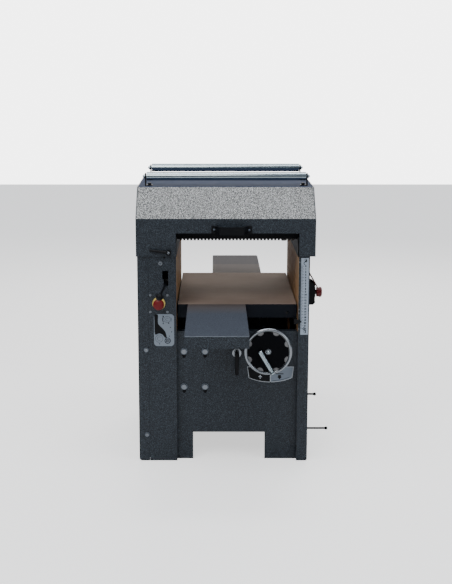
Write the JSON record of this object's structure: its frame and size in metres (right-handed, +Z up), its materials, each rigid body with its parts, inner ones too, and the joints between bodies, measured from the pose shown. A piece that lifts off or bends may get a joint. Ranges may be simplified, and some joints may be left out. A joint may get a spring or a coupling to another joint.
{
  "type": "thickness planer",
  "caption": "Stationary wood thickness planer: enclosed stand, tilting hood with return rollers, cutterblock, feed rollers and a table raised by handwheel.",
  "frame": {"origin": "centre of the four floor anchor holes, on the floor plane", "axes": "+Z up, +Y in the feed direction (front to back), +X to the right seen from the infeed side"},
  "size_m": [0.684, 1.496, 1.0105],
  "materials": {
    "dark_hammertone": "dark hammertone enamel, fine orange-peel grain",
    "light_hammertone": "light grey hammertone with fine sparkle",
    "blue_grey_paint": "smooth blue-grey enamel",
    "extension_paint": "grey enamel, slight sheen",
    "motor_paint": "smooth blue enamel",
    "cast_frame": "machined, oiled brown tone",
    "black_cast": "black painted casting",
    "ground_iron": "fine ground face with cross lines",
    "bright_steel": "turned and polished",
    "oiled_steel": "dark oiled steel",
    "black_steel": "blackened steel",
    "chrome": "polished",
    "scale_aluminium": "anodised, engraved scale",
    "belt_rubber": "matte",
    "black_plastic": "fine moulded grain",
    "yellow_plastic": "moulded",
    "red_plastic": "moulded"
  },
  "bodies": {
    "base": {"left_console": "dark_hammertone", "side_cover": "dark_hammertone", "right_column": "dark_hammertone", "side_frames": "cast_frame", "front_panel": "dark_hammertone", "rear_panel": "dark_hammertone", "anchor_feet": "dark_hammertone", "head_cheeks": "black_cast", "cutter_bearings": "bright_steel", "pressure_bar": "black_cast", "chip_breaker": "black_cast", "motor": "motor_paint", "motor_plate": "black_cast", "outer_bolts": "bright_steel", "drive_belts": "belt_rubber", "kickback_shaft": "bright_steel", "feed_gearbox": "black_cast", "chains": "oiled_steel", "lift_bridge": "black_cast", "shaft_bearing": "black_cast", "scale_plate": "scale_aluminium", "stop_base_front": "yellow_plastic", "stop_box_side": "black_plastic", "stop_guard": "dark_hammertone", "power_inlet": "black_plastic", "feed_bearings": "oiled_steel", "feed_springs": "bright_steel", "hood_hinges": "bright_steel"},
    "table_unit": {"table": "ground_iron", "front_extension": "extension_paint", "rear_extension": "extension_paint", "lift_screws": "bright_steel"},
    "handwheel": {"wheel_rim": "chrome", "wheel_disc": "black_plastic", "wheel_shaft": "bright_steel"},
    "crank": {"crank_handle": "chrome"},
    "nut_right": {"lift_nut_right": "oiled_steel"},
    "nut_left": {"lift_nut_left": "oiled_steel"},
    "table_lock": {"lock_lever": "black_plastic"},
    "hood": {"hood_shell": "dark_hammertone", "hood_front_panel": "light_hammertone", "hood_top": "blue_grey_paint", "hood_handle": "black_plastic", "roller_brackets": "black_steel", "dust_spout": "blue_grey_paint"},
    "front_return_roller": {"return_roller_front": "chrome"},
    "rear_return_roller": {"return_roller_rear": "chrome"},
    "latch": {"hood_latch": "black_plastic"},
    "feed_control": {"feed_lever": "black_plastic"},
    "front_stop": {"stop_button_front": "red_plastic"},
    "side_stop": {"stop_button_side": "red_plastic"},
    "upper_selector": {"rod_upper": "black_steel"},
    "lower_selector": {"rod_lower": "black_steel"},
    "cutter": {"cutterblock": "bright_steel", "knives": "bright_steel"},
    "rotor": {"motor_rotor": "bright_steel"},
    "infeed": {"infeed_roller": "oiled_steel"},
    "outfeed": {"outfeed_roller": "bright_steel"},
    "fingers": {"kickback_fingers": "oiled_steel"},
    "feed_output": {"feed_sprocket": "oiled_steel"}
  },
  "joints": [
    {"name": "table_slide", "type": "slide", "parent": "base", "child": "table_unit", "axis": [0, 0, 1], "range_m": [-0.02, 0.2]},
    {"name": "handwheel_spin", "type": "hinge", "parent": "base", "child": "handwheel", "pos_m": [0.105, -0.383, 0.415], "axis": [0, -1, 0], "range_deg": [-1201, 12001]},
    {"name": "nut_right_spin", "type": "hinge", "parent": "base", "child": "nut_right", "pos_m": [0.105, 0, 0.38], "axis": [0, 0, 1], "range_deg": [-601, 6001]},
    {"name": "nut_left_spin", "type": "hinge", "parent": "base", "child": "nut_left", "pos_m": [-0.105, 0, 0.38], "axis": [0, 0, 1], "range_deg": [-601, 6001]},
    {"name": "crank_fold", "type": "hinge", "parent": "handwheel", "child": "crank", "pos_m": [0.121, -0.398, 0.343], "axis": [0.8613, 0, 0.5082], "range_deg": [0, 90]},
    {"name": "table_lock_turn", "type": "hinge", "parent": "base", "child": "table_lock", "pos_m": [-0.001, -0.32, 0.391], "axis": [0, -1, 0], "range_deg": [-60, 0]},
    {"name": "hood_tilt", "type": "hinge", "parent": "base", "child": "hood", "pos_m": [0, 0.334, 0.748], "axis": [-1, 0, 0], "range_deg": [0, 60]},
    {"name": "front_return_spin", "type": "hinge", "parent": "hood", "child": "front_return_roller", "pos_m": [0, -0.168, 0.9955], "axis": [1, 0, 0], "continuous": true},
    {"name": "rear_return_spin", "type": "hinge", "parent": "hood", "child": "rear_return_roller", "pos_m": [0, 0.168, 0.9955], "axis": [1, 0, 0], "continuous": true},
    {"name": "latch_turn", "type": "hinge", "parent": "hood", "child": "latch", "pos_m": [-0.236, -0.335, 0.751], "axis": [0, -1, 0], "range_deg": [-60, 0]},
    {"name": "feed_lever_turn", "type": "hinge", "parent": "base", "child": "feed_control", "pos_m": [-0.243, -0.285, 0.644], "axis": [1, 0, 0], "range_deg": [-40, 0]},
    {"name": "front_stop_press", "type": "slide", "parent": "base", "child": "front_stop", "axis": [0, 1, 0], "range_m": [0, 0.004], "stiffness_N_per_m": 1500, "springref_m": -0.004},
    {"name": "side_stop_press", "type": "slide", "parent": "base", "child": "side_stop", "axis": [-1, 0, 0], "range_m": [0, 0.004], "stiffness_N_per_m": 1500, "springref_m": -0.004},
    {"name": "upper_selector_slide", "type": "slide", "parent": "base", "child": "upper_selector", "axis": [1, 0, 0], "range_m": [0, 0.044]},
    {"name": "lower_selector_slide", "type": "slide", "parent": "base", "child": "lower_selector", "axis": [1, 0, 0], "range_m": [-0.044, 0]},
    {"name": "cutterblock_spin", "type": "hinge", "parent": "base", "child": "cutter", "pos_m": [0, 0, 0.8202], "axis": [1, 0, 0], "continuous": true},
    {"name": "motor_spin", "type": "hinge", "parent": "base", "child": "rotor", "pos_m": [-0.29, -0.2, 0.33], "axis": [1, 0, 0], "continuous": true},
    {"name": "infeed_spin", "type": "hinge", "parent": "base", "child": "infeed", "pos_m": [0, -0.095, 0.8027], "axis": [1, 0, 0], "continuous": true},
    {"name": "outfeed_spin", "type": "hinge", "parent": "base", "child": "outfeed", "pos_m": [0, 0.095, 0.8037], "axis": [1, 0, 0], "continuous": true},
    {"name": "feed_drive_spin", "type": "hinge", "parent": "base", "child": "feed_output", "pos_m": [0.22, -0.122, 0.2], "axis": [1, 0, 0], "continuous": true},
    {"name": "finger_swing", "type": "hinge", "parent": "base", "child": "fingers", "pos_m": [0, -0.178, 0.812], "axis": [1, 0, 0], "range_deg": [0, 50]}
  ],
  "couplings": [
    {"joint": "handwheel_spin", "follows": "table_slide", "rad_per_m": 1047.2},
    {"joint": "nut_right_spin", "follows": "table_slide", "rad_per_m": 523.6},
    {"joint": "nut_left_spin", "follows": "table_slide", "rad_per_m": 523.6},
    {"joint": "motor_spin", "follows": "cutterblock_spin", "ratio": 0.6071},
    {"joint": "outfeed_spin", "follows": "infeed_spin", "ratio": 1},
    {"joint": "feed_drive_spin", "follows": "infeed_spin", "ratio": 1}
  ]
}
